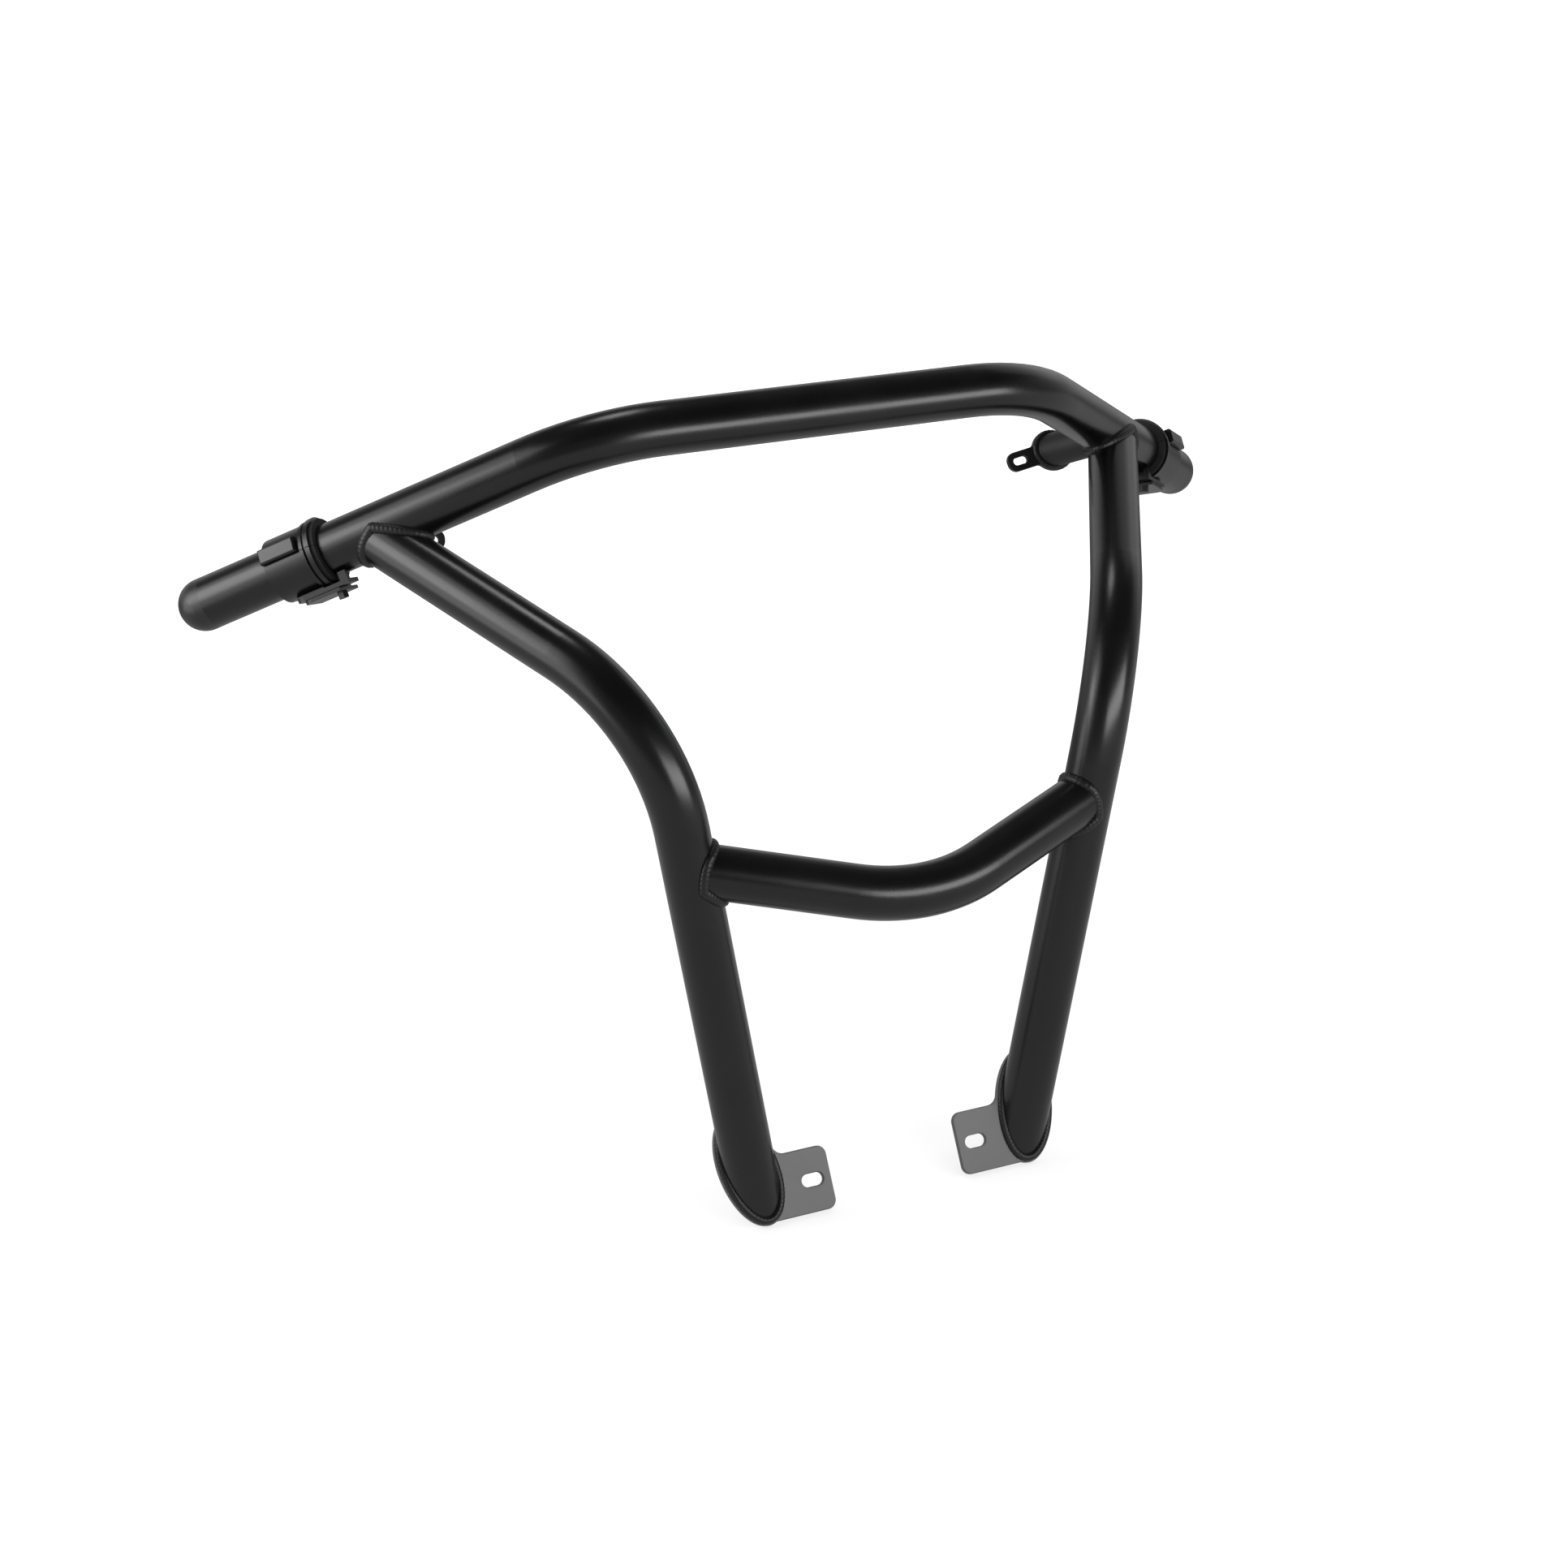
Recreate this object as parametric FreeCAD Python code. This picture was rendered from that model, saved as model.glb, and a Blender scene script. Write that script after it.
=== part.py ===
# Rear bumper for a side-by-side utility vehicle: bent steel tubes welded into one frame,
# with slotted feet, slotted upper brackets, a hooked clamp and a domed cap on each end.
# Millimetres. +X is right seen from behind, +Y points forward to the vehicle, +Z is up.
# The origin lies midway between the slots of the two feet, on the feet's rear faces.
import FreeCAD, Part
import math
import os

from FreeCAD import Placement, Rotation, Vector

# Tube stock
tube_diameter = 44.45
tube_wall = 2.4
bend_radius = 152.4
weld_leg = 3.5
cope_blunt = 12.0

# Top tube: a straight middle, with ends swept forward and down
top_height = 619.9
top_forward = 151.7
top_half_width = 198.1
end_sweep = 35.9
end_drop = 25.4
end_length = 363.5

# Uprights: from under the ends, back and in, then down as legs
upright_station = 207.5
upright_bend_half_width = 206.1
upright_bend_forward = 6.3
upright_bend_height = 433.1
leg_lean_in = 10.2
leg_lean_forward = 0.5

# Cross tube: a shallow V between the legs, bent backward and down
cross_drop_on_leg = 134.3
cross_bend_back = 57.0
cross_bend_height = 263.3

# Feet: tilted plates with an inward ear and one slot
foot_tilt = 29.5
foot_slot_half_spacing = 77.8
foot_thickness = 5.0
foot_ledge = 4.5
foot_ear_reach = 17.0
foot_ear_height = 54.0
foot_slot_width = 11.0
foot_slot_length = 20.0
foot_corner = 8.0
foot_inside_corner = 10.0

# Upper brackets: a stub tube that ends on a plate parallel to the feet
stub_diameter = 31.75
stub_wall = 2.4
stub_station = 202.0
bracket_inboard = 26.91
bracket_ahead = 55.90
bracket_drop = 25.76
bracket_thickness = 4.0
bracket_ledge = 3.0
bracket_ear_reach = 48.5
bracket_ear_height = 18.0
bracket_ear_droop = 9.0
bracket_slot_width = 7.0
bracket_slot_length = 15.0
bracket_slot_inset = 13.0
bracket_corner = 8.0
bracket_inside_corner = 6.0

# Domed end caps: a plug with ribs, pushed into the open end
cap_lip = 7.0
cap_shell = 3.0
cap_plug_length = 22.0
cap_plug_clearance = 0.8
cap_rib_clearance = 0.1
cap_rib_width = 2.0
cap_rib_count = 3

# Clamps: a rear half that hooks over a front half, lined with rubber, closed by one screw
left_clamp_station = 272.8
right_clamp_station = 299.0
clamp_length = 45.5
clamp_liner = 2.0
clamp_liner_flange = 5.5
clamp_liner_flange_length = 3.5
clamp_front_wall = 3.0
clamp_rear_wall = 3.5
clamp_rim_wall = 6.0
clamp_rim_length = 4.0
clamp_rim_groove = 2.5
clamp_second_rim_wall = 5.0
clamp_second_rim_length = 3.0
clamp_hook_angle = 28.0
clamp_tab_angle = -75.0
clamp_tab_overlap = 12.0
clamp_gap = 0.5
hook_length = 34.0
hook_depth = 13.0
hook_height = 8.5
hook_corner = 2.0
tab_start = 28.0
tab_thickness = 3.5
tab_inboard = 38.0
tab_outboard = 14.0
lower_tab_thickness = 3.0
lower_tab_inboard = 28.0
lower_tab_outboard = 8.0
tab_out = 15.0
tab_in = 12.0
tab_corner = 9.0
tab_web = 8.0
tab_lip_rise = 7.5
tab_lip_depth = 5.0
tab_lip_length = 7.0
screw_diameter = 5.0
screw_clearance = 0.5
screw_head_across = 8.0
screw_head_height = 6.0
screw_station = 24.5
screw_offset = 5.0
screw_engagement = 3.0

tube_radius = tube_diameter / 2
tube_bore = tube_radius - tube_wall
stub_radius = stub_diameter / 2
end_direction = Vector(
    math.cos(math.radians(end_drop)) * math.cos(math.radians(end_sweep)),
    math.cos(math.radians(end_drop)) * math.sin(math.radians(end_sweep)),
    -math.sin(math.radians(end_drop)),
)
leg_direction = Vector(
    -math.tan(math.radians(leg_lean_in)),
    math.tan(math.radians(leg_lean_forward)),
    -1,
).normalize()
top_bend = Vector(top_half_width, top_forward, top_height)
upright_bend = Vector(upright_bend_half_width, upright_bend_forward, upright_bend_height)
top_end = top_bend + end_direction * end_length
upright_joint = top_bend + end_direction * upright_station
upright_direction = (upright_bend - upright_joint).normalize()
cross_joint = upright_bend + leg_direction * cross_drop_on_leg
cross_bend = Vector(0, -cross_bend_back, cross_bend_height)
cross_direction = (cross_bend - cross_joint).normalize()
stub_joint = top_bend + end_direction * stub_station
bracket_centre = stub_joint + Vector(-bracket_inboard, bracket_ahead, -bracket_drop)
stub_direction = (bracket_centre - stub_joint).normalize()
plate_rotation = Rotation(Vector(1, 0, 0), 90 - foot_tilt)
foot_frame = Placement(Vector(foot_slot_half_spacing, 0, 0), plate_rotation)
bracket_frame = Placement(bracket_centre, plate_rotation)


def mirrored(point):
    """Gives the same point on the other side of the bumper."""
    return Vector(-point.x, point.y, point.z)


def other_side(shape):
    """Gives the left-hand copy of a right-hand piece."""
    return shape.mirror(Vector(0, 0, 0), Vector(1, 0, 0))


def rod(start, direction, radius, length):
    """Makes a solid round bar from a point along a direction."""
    return Part.makeCylinder(radius, length, start, direction)


def bent_path(points, radius):
    """Joins points by straight runs, with a tangent arc of one radius at each inner point."""
    edges = []
    run_start = points[0]
    for before, corner, after in zip(points, points[1:], points[2:]):
        inward = (before - corner).normalize()
        outward = (after - corner).normalize()
        half_angle = inward.getAngle(outward) / 2
        setback = radius / math.tan(half_angle)
        arc_start = corner + inward * setback
        arc_end = corner + outward * setback
        bisector = (inward + outward).normalize()
        arc_middle = corner + bisector * (radius / math.sin(half_angle) - radius)
        edges.append(Part.LineSegment(run_start, arc_start).toShape())
        edges.append(Part.Arc(arc_start, arc_middle, arc_end).toShape())
        run_start = arc_end
    edges.append(Part.LineSegment(run_start, points[-1]).toShape())
    return Part.Wire(edges)


def bent_tube(points):
    """Makes a hollow tube along bent runs."""
    path = bent_path(points, bend_radius)
    start_direction = points[1] - points[0]
    outer = Part.Wire(Part.Circle(points[0], start_direction, tube_radius).toShape())
    inner = Part.Wire(Part.Circle(points[0], start_direction, tube_bore).toShape())
    body = path.makePipe(Part.Face(outer))
    hollow = path.makePipe(Part.Face(inner))
    return body.cut(hollow)


def slab(frame, low, high):
    """Makes a wide flat block in a plate's frame, between two heights over its rear face."""
    size = 400
    block = Part.makeBox(size, size, high - low, Vector(-size / 2, -size / 2, low))
    block.Placement = frame
    return block


def plane_hit(start, direction, frame):
    """Finds where a line meets a plate's rear face, in the plate's own frame."""
    inverse = frame.inverse()
    local_start = inverse.multVec(start)
    local_direction = frame.Rotation.inverted().multVec(direction)
    reach = -local_start.z / local_direction.z
    return local_start + local_direction * reach, local_direction


def slot_cutter(length, width, depth):
    """Makes a round-ended bar along X, centred on the plate's surface."""
    straight = (length - width) / 2
    middle = Part.makeBox(2 * straight, width, depth, Vector(-straight, -width / 2, -depth / 2))
    right = Part.makeCylinder(width / 2, depth, Vector(straight, 0, -depth / 2))
    left = Part.makeCylinder(width / 2, depth, Vector(-straight, 0, -depth / 2))
    return middle.fuse([right, left])


def upright_edges(shape, wanted):
    """Picks the edges that cross a plate's thickness and whose place passes a test."""
    picked = []
    for edge in shape.Edges:
        ends = [vertex.Point for vertex in edge.Vertexes]
        if len(ends) == 2 and (ends[0] - ends[1]).cross(Vector(0, 0, 1)).Length < 1e-6:
            if wanted(ends[0]):
                picked.append(edge)
    return picked


def ear_blank(reach, overlap, height, thickness, corner):
    """Makes an ear along X with its two free corners rounded."""
    ear = Part.makeBox(reach + overlap, height, thickness, Vector(-reach, -height / 2, -thickness))
    return ear.makeFillet(corner, upright_edges(ear, lambda point: point.x < 0))


def mitre_disc(centre, direction, radius, ledge, thickness):
    """Makes the oval part of a plate behind a tube that meets it at a slant."""
    slant = abs(direction.z)
    turn = math.degrees(math.atan2(direction.y, direction.x))
    oval = Part.Ellipse(Vector(0, 0, 0), radius / slant + ledge, radius + ledge)
    disc = Part.Face(Part.Wire(oval.toShape())).extrude(Vector(0, 0, -thickness))
    disc.Placement = Placement(Vector(centre.x, centre.y, 0), Rotation(Vector(0, 0, 1), turn))
    return disc


def rounded_plate(disc, ear, inside_corner):
    """Joins ear and oval, and rounds the inside corner between them."""
    plate = disc.fuse(ear).removeSplitter()
    top = ear.BoundBox.YMax
    corners = upright_edges(plate, lambda point: point.x > 0 and abs(point.y - top) < 0.5)
    return plate.makeFillet(inside_corner, corners) if corners else plate


def foot_plate():
    """Makes the right foot: oval behind the leg, ear to the inside, one slot."""
    centre, direction = plane_hit(upright_bend, leg_direction, foot_frame)
    disc = mitre_disc(centre, direction, tube_radius, foot_ledge, foot_thickness)
    ear = ear_blank(foot_ear_reach, centre.x, foot_ear_height, foot_thickness, foot_corner)
    plate = rounded_plate(disc, ear, foot_inside_corner)
    plate = plate.cut(slot_cutter(foot_slot_length, foot_slot_width, 4 * foot_thickness))
    plate.Placement = foot_frame
    return plate


def bracket_plate():
    """Makes the right upper plate: oval behind the stub, drooping ear with a slot."""
    centre, direction = plane_hit(stub_joint, stub_direction, bracket_frame)
    disc = mitre_disc(centre, direction, stub_radius, bracket_ledge, bracket_thickness)
    ear = ear_blank(bracket_ear_reach, 0, bracket_ear_height, bracket_thickness, bracket_corner)
    slot = slot_cutter(bracket_slot_length, bracket_slot_width, 4 * bracket_thickness)
    slot.translate(Vector(bracket_slot_inset - bracket_ear_reach, 0, 0))
    ear.rotate(Vector(0, 0, 0), Vector(0, 0, 1), bracket_ear_droop)
    slot.rotate(Vector(0, 0, 0), Vector(0, 0, 1), bracket_ear_droop)
    plate = disc.fuse(ear).removeSplitter()
    neck = bracket_ear_reach / 2
    corners = upright_edges(plate, lambda point: -neck < point.x < 0)
    plate = plate.makeFillet(bracket_inside_corner, corners).cut(slot)
    plate.Placement = bracket_frame
    return plate


def main_solid(shape):
    """Keeps the largest solid of a shape and drops slivers beside it."""
    return max(shape.Solids, key=lambda solid: solid.Volume)


def crossing_slab(point, normal):
    """Makes a thin square plate through a point, as thick as a bead is wide."""
    size = 6 * tube_radius
    block = Part.makeBox(size, size, 2 * weld_leg, Vector(-size / 2, -size / 2, -weld_leg))
    block.Placement = Placement(point, Rotation(Vector(0, 0, 1), normal))
    return block


def joint_weld(point, main_direction, branch_direction, branch_radius):
    """Makes the bead round a branch tube where it meets the side of a main tube."""
    reach = 4 * tube_radius
    overrun = 2 * weld_leg
    main_start = point - main_direction * reach
    branch_start = point - branch_direction * overrun
    main_inner = rod(main_start, main_direction, tube_radius, 2 * reach)
    main_outer = rod(main_start, main_direction, tube_radius + weld_leg, 2 * reach)
    branch_inner = rod(branch_start, branch_direction, branch_radius, reach + overrun)
    branch_outer = rod(branch_start, branch_direction, branch_radius + weld_leg, reach + overrun)
    return branch_outer.common(main_outer).cut(main_inner).cut(branch_inner)


def blunt_zone(point, branch_direction):
    """Makes the bar in which the thin points of a coped tube end are cut off square."""
    reach = 2 * tube_diameter
    return rod(point - branch_direction * reach, branch_direction, tube_diameter, reach + cope_blunt)


def equal_tube_weld(point, main_direction, branch_direction):
    """Makes the bead along the two planes in which equal tubes cross, closed over the blunt points."""
    reach = 4 * tube_radius
    main_start = point - main_direction * reach
    blunt_start = point + branch_direction * cope_blunt
    main_inner = rod(main_start, main_direction, tube_radius, 2 * reach)
    main_outer = rod(main_start, main_direction, tube_radius + weld_leg, 2 * reach)
    branch_outer = rod(point, branch_direction, tube_radius + weld_leg, reach)
    branch_inner = rod(blunt_start, branch_direction, tube_radius, reach)
    branch_bore = rod(point, branch_direction, tube_bore, reach)
    bead = branch_outer.common(main_outer).cut(main_inner).cut(branch_inner.fuse(branch_bore))
    near_plane = crossing_slab(point, main_direction - branch_direction)
    far_plane = crossing_slab(point, main_direction + branch_direction)
    arms = near_plane.fuse(far_plane).cut(blunt_zone(point, branch_direction))
    points_start = blunt_start - branch_direction * weld_leg
    points = rod(points_start, branch_direction, tube_diameter, weld_leg)
    return bead.common(arms.fuse(points))


def plate_weld(frame, start, direction, radius):
    """Makes the bead round a tube where it ends on a plate."""
    centre, local_direction = plane_hit(start, direction, frame)
    collar = mitre_disc(centre, local_direction, radius, weld_leg, weld_leg)
    collar.translate(Vector(0, 0, weld_leg))
    collar.Placement = frame.multiply(collar.Placement)
    reach = 5 * radius
    hit = frame.multVec(centre)
    return collar.cut(rod(hit - direction * reach, direction, radius, 2 * reach))


def end_cap():
    """Makes the right cap along +Z from the tube's end, then sets it in place."""
    ball = Part.makeSphere(tube_radius, Vector(0, 0, cap_lip), Vector(0, 0, 1), 0, 90, 360)
    lip = Part.makeCylinder(tube_radius, cap_lip)
    plug_radius = tube_bore - cap_plug_clearance
    plug = Part.makeCylinder(plug_radius, cap_plug_length, Vector(0, 0, -cap_plug_length))
    ribs = []
    for index in range(cap_rib_count):
        rib_base = -cap_plug_length * (index + 0.5) / cap_rib_count - cap_rib_width / 2
        rib_radius = tube_bore - cap_rib_clearance
        ribs.append(Part.makeCylinder(rib_radius, cap_rib_width, Vector(0, 0, rib_base)))
    body = ball.fuse([lip, plug] + ribs)
    hollow_radius = plug_radius - cap_shell
    hollow = Part.makeCylinder(hollow_radius, cap_plug_length + cap_lip, Vector(0, 0, -cap_plug_length))
    dome = Part.makeSphere(hollow_radius, Vector(0, 0, cap_lip), Vector(0, 0, 1), 0, 90, 360)
    cap = body.cut(hollow.fuse(dome))
    cap.Placement = Placement(top_end, Rotation(Vector(0, 0, 1), end_direction))
    return cap


# Clamp axes: X level and backward, Y up, Z inboard along the tube
clamp_inboard = end_direction * -1
clamp_level = Vector(end_direction.y, -end_direction.x, 0).normalize()
clamp_up = clamp_inboard.cross(clamp_level)
clamp_rotation = Rotation(clamp_level, clamp_up, clamp_inboard, "ZXY")
clamp_bore = tube_radius + clamp_liner
clamp_half = clamp_length / 2


def arc_shell(inner, outer, low, high, start_angle, end_angle):
    """Makes part of a ring between two radii, two heights and two angles."""
    section = Part.makePolygon([
        Vector(inner, 0, low),
        Vector(outer, 0, low),
        Vector(outer, 0, high),
        Vector(inner, 0, high),
        Vector(inner, 0, low),
    ])
    shell = Part.Face(section).revolve(Vector(0, 0, 0), Vector(0, 0, 1), end_angle - start_angle)
    shell.rotate(Vector(0, 0, 0), Vector(0, 0, 1), start_angle)
    return shell


def turned_box(out_low, out_high, across_low, across_high, low, high, angle):
    """Makes a block by its distance out from the axis, across and along, turned round the tube."""
    box = Part.makeBox(
        out_high - out_low,
        across_high - across_low,
        high - low,
        Vector(out_low, across_low, low),
    )
    box.rotate(Vector(0, 0, 0), Vector(0, 0, 1), angle)
    return box


def clamp_tab(out_low, thickness, across_low, inboard, outboard):
    """Makes one closing tab under the tube, with its free outboard corner rounded."""
    tab = Part.makeBox(
        thickness,
        tab_out - across_low,
        inboard + outboard,
        Vector(out_low, across_low, -outboard),
    )
    corners = [edge for edge in tab.Edges if on_free_corner(edge)]
    tab = tab.makeFillet(tab_corner, corners)
    tab.rotate(Vector(0, 0, 0), Vector(0, 0, 1), clamp_tab_angle)
    return tab


def on_free_corner(edge):
    """Tells whether an edge crosses a tab's thickness at its free outboard corner."""
    ends = [vertex.Point for vertex in edge.Vertexes]
    across_thickness = abs(ends[0].y - ends[1].y) < 1e-6 and abs(ends[0].z - ends[1].z) < 1e-6
    return across_thickness and abs(ends[0].y - tab_out) < 1e-6 and ends[0].z < 0


def clamp_rims(start_angle, end_angle):
    """Makes the two raised rims at the inboard end of a half, with a groove between them."""
    first = arc_shell(
        clamp_bore,
        clamp_bore + clamp_rim_wall,
        clamp_half - clamp_rim_length,
        clamp_half,
        start_angle,
        end_angle,
    )
    second_end = clamp_half - clamp_rim_length - clamp_rim_groove
    second = arc_shell(
        clamp_bore,
        clamp_bore + clamp_second_rim_wall,
        second_end - clamp_second_rim_length,
        second_end,
        start_angle,
        end_angle,
    )
    return [first, second]


def screw_hole(radius):
    """Makes the bar that drills both tabs for the screw."""
    hole = rod(
        Vector(tab_start - screw_engagement + tab_thickness, screw_offset, screw_station),
        Vector(1, 0, 0),
        radius,
        4 * tab_thickness,
    )
    hole.rotate(Vector(0, 0, 0), Vector(0, 0, 1), clamp_tab_angle)
    return hole


def clamp_front_half():
    """Makes the smooth front shell with its rim and the upper closing tab."""
    start_angle = clamp_tab_angle - clamp_tab_overlap
    end_angle = clamp_hook_angle - math.degrees(clamp_gap / clamp_bore)
    outer = clamp_bore + clamp_front_wall
    shell = arc_shell(clamp_bore, outer, -clamp_half, clamp_half, start_angle, end_angle)
    rims = clamp_rims(start_angle, end_angle)
    web = turned_box(0, tab_start + tab_thickness / 2, 0, tab_web, -tab_outboard, clamp_half,
                     clamp_tab_angle)
    lip = turned_box(tab_start - tab_lip_rise, tab_start + tab_thickness, tab_out - tab_lip_depth, tab_out,
                     tab_inboard - tab_lip_length, tab_inboard, clamp_tab_angle)
    tab = clamp_tab(tab_start, tab_thickness, -tab_in + tab_web, tab_inboard, tab_outboard)
    body = shell.fuse(rims + [web, tab, lip])
    body = body.cut(rod(Vector(0, 0, -clamp_length), Vector(0, 0, 1), clamp_bore, 2 * clamp_length))
    return body.cut(screw_hole(screw_diameter / 2)).removeSplitter()


def clamp_rear_half():
    """Makes the rear shell with its rim, the hook over the front half and the lower tab."""
    start_angle = clamp_hook_angle
    end_angle = 360 + clamp_tab_angle - clamp_tab_overlap - math.degrees(clamp_gap / clamp_bore)
    outer = clamp_bore + clamp_rear_wall
    shell = arc_shell(clamp_bore, outer, -clamp_half, clamp_half, start_angle, end_angle)
    rims = clamp_rims(start_angle, end_angle)
    hook = Part.makeBox(hook_height, hook_depth, hook_length, Vector(clamp_bore, 0, -clamp_half))
    hook = hook.makeFillet(hook_corner, [edge for edge in hook.Edges if edge.BoundBox.XMin > clamp_bore])
    hook.rotate(Vector(0, 0, 0), Vector(0, 0, 1), clamp_hook_angle)
    low_tab = tab_start + tab_thickness + clamp_gap
    web = turned_box(0, low_tab + lower_tab_thickness / 2, -tab_in - tab_web, -tab_in, -lower_tab_outboard,
                     clamp_half, clamp_tab_angle)
    tab = clamp_tab(low_tab, lower_tab_thickness, -tab_in - tab_web, lower_tab_inboard, lower_tab_outboard)
    body = shell.fuse(rims + [hook, web, tab])
    body = body.cut(rod(Vector(0, 0, -clamp_length), Vector(0, 0, 1), clamp_bore, 2 * clamp_length))
    return body.cut(screw_hole(screw_diameter / 2 + screw_clearance)).removeSplitter()


def clamp_liner_sleeve():
    """Makes the rubber sleeve, split under the hook, with a flange at its inboard end."""
    slit = math.degrees(clamp_gap / tube_radius)
    start_angle = clamp_hook_angle
    end_angle = clamp_hook_angle + 360 - slit
    sleeve = arc_shell(tube_radius, clamp_bore, -clamp_half, clamp_half, start_angle, end_angle)
    flange = arc_shell(
        tube_radius,
        tube_radius + clamp_liner_flange,
        clamp_half,
        clamp_half + clamp_liner_flange_length,
        start_angle,
        end_angle,
    )
    return sleeve.fuse(flange).removeSplitter()


def hexagon_bar(across, height):
    """Makes a six-sided bar along +Z."""
    corner = across / math.sqrt(3)
    points = []
    for index in range(7):
        angle = math.radians(60 * index)
        points.append(Vector(corner * math.cos(angle), corner * math.sin(angle), 0))
    return Part.Face(Part.makePolygon(points)).extrude(Vector(0, 0, height))


def clamp_screw():
    """Makes the closing screw, head outward under the lower tab."""
    seat = tab_start + tab_thickness + clamp_gap + lower_tab_thickness
    shank_start = tab_start + tab_thickness - screw_engagement
    head = hexagon_bar(screw_head_across, screw_head_height)
    head.Placement = Placement(
        Vector(seat, screw_offset, screw_station), Rotation(Vector(0, 0, 1), Vector(1, 0, 0)))
    shank = rod(
        Vector(shank_start, screw_offset, screw_station),
        Vector(1, 0, 0),
        screw_diameter / 2,
        seat - shank_start,
    )
    screw = head.fuse(shank)
    screw.rotate(Vector(0, 0, 0), Vector(0, 0, 1), clamp_tab_angle)
    return screw


def set_on_tube(shape, station):
    """Moves a clamp piece from its own axes to a station on the right end."""
    clamp_frame = Placement(top_bend + end_direction * station, clamp_rotation)
    placed = shape.copy()
    placed.Placement = clamp_frame.multiply(placed.Placement)
    return placed


# Main tubes
top_tube = bent_tube([mirrored(top_end), mirrored(top_bend), top_bend, top_end])
top_solid = rod(top_bend, end_direction, tube_radius, end_length)
leg_hit, _ = plane_hit(upright_bend, leg_direction, foot_frame)
leg_overrun = foot_frame.multVec(leg_hit) + leg_direction * 3 * tube_radius
upright = bent_tube([upright_joint, upright_bend, leg_overrun])
upright = upright.cut(top_solid).cut(blunt_zone(upright_joint, upright_direction))
upright = upright.cut(slab(foot_frame, -6 * tube_radius, 0))
upright_solid = rod(upright_joint, upright_direction, tube_radius, 3 * tube_diameter)
leg_length = (leg_overrun - upright_bend).Length
leg_solid = rod(upright_bend, leg_direction, tube_radius, leg_length)
cross_tube = bent_tube([mirrored(cross_joint), cross_bend, cross_joint])
cross_tube = cross_tube.cut(leg_solid).cut(other_side(leg_solid))
cross_blunt = blunt_zone(cross_joint, cross_direction)
cross_tube = cross_tube.cut(cross_blunt).cut(other_side(cross_blunt))

# Bracket stub, coped to the top tube and clear of the upright's bead
stub_length = 2 * (bracket_centre - stub_joint).Length
stub_outer = rod(stub_joint, stub_direction, stub_radius, stub_length)
stub_bore = rod(stub_joint, stub_direction, stub_radius - stub_wall, stub_length)
bead_clear = rod(upright_joint, upright_direction, tube_radius + weld_leg, 2 * tube_diameter)
stub = stub_outer.cut(stub_bore).cut(top_solid).cut(bead_clear)
stub = stub.cut(slab(bracket_frame, -4 * stub_length, 0))

# Weld beads
upright_weld = equal_tube_weld(upright_joint, end_direction, upright_direction)
stub_weld = joint_weld(stub_joint, end_direction, stub_direction, stub_radius)
stub_weld = main_solid(stub_weld.cut(upright_solid).cut(upright_weld))
cross_weld = equal_tube_weld(cross_joint, leg_direction, cross_direction)
foot_weld = plate_weld(foot_frame, upright_bend, leg_direction, tube_radius)
bracket_weld = plate_weld(bracket_frame, stub_joint, stub_direction, stub_radius)

right_pieces = {
    "upright": upright,
    "foot_plate": foot_plate(),
    "bracket_stub": stub,
    "bracket_plate": bracket_plate(),
    "end_cap": end_cap(),
    "upright_weld": upright_weld,
    "cross_weld": cross_weld,
    "foot_weld": foot_weld,
    "stub_weld": stub_weld,
    "bracket_weld": bracket_weld,
}

# The clamps slide on the tube, and each side's is set at its own station
clamp_pieces = {
    "clamp_front_half": clamp_front_half(),
    "clamp_rear_half": clamp_rear_half(),
    "clamp_liner": clamp_liner_sleeve(),
    "clamp_screw": clamp_screw(),
}

nodes = {"top_tube": top_tube, "cross_tube": cross_tube}
for name, shape in right_pieces.items():
    nodes["right_" + name] = shape
    nodes["left_" + name] = other_side(shape)
for name, shape in clamp_pieces.items():
    nodes["right_" + name] = set_on_tube(shape, right_clamp_station)
    nodes["left_" + name] = other_side(set_on_tube(shape, left_clamp_station))

os.makedirs("parts", exist_ok=True)
for name, shape in nodes.items():
    shape.exportStep("parts/" + name + ".step")
    print(name, "solids", len(shape.Solids), "valid", shape.isValid(), "volume", round(shape.Volume))
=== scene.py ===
# %% [markdown]
# # Rear bumper of a side-by-side utility vehicle
# The bumper is one frame of bent steel tube, welded and powder coated in satin black.
# Its solids come from the CAD part, so the tubes, plates and clamps are already in place.
# This lesson adds what the eye expects on top of them: rippled weld beads, softened
# edges, the finishes, and a small white studio.

import math

import bmesh
import bpy
from mathutils import Matrix, Vector


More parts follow.
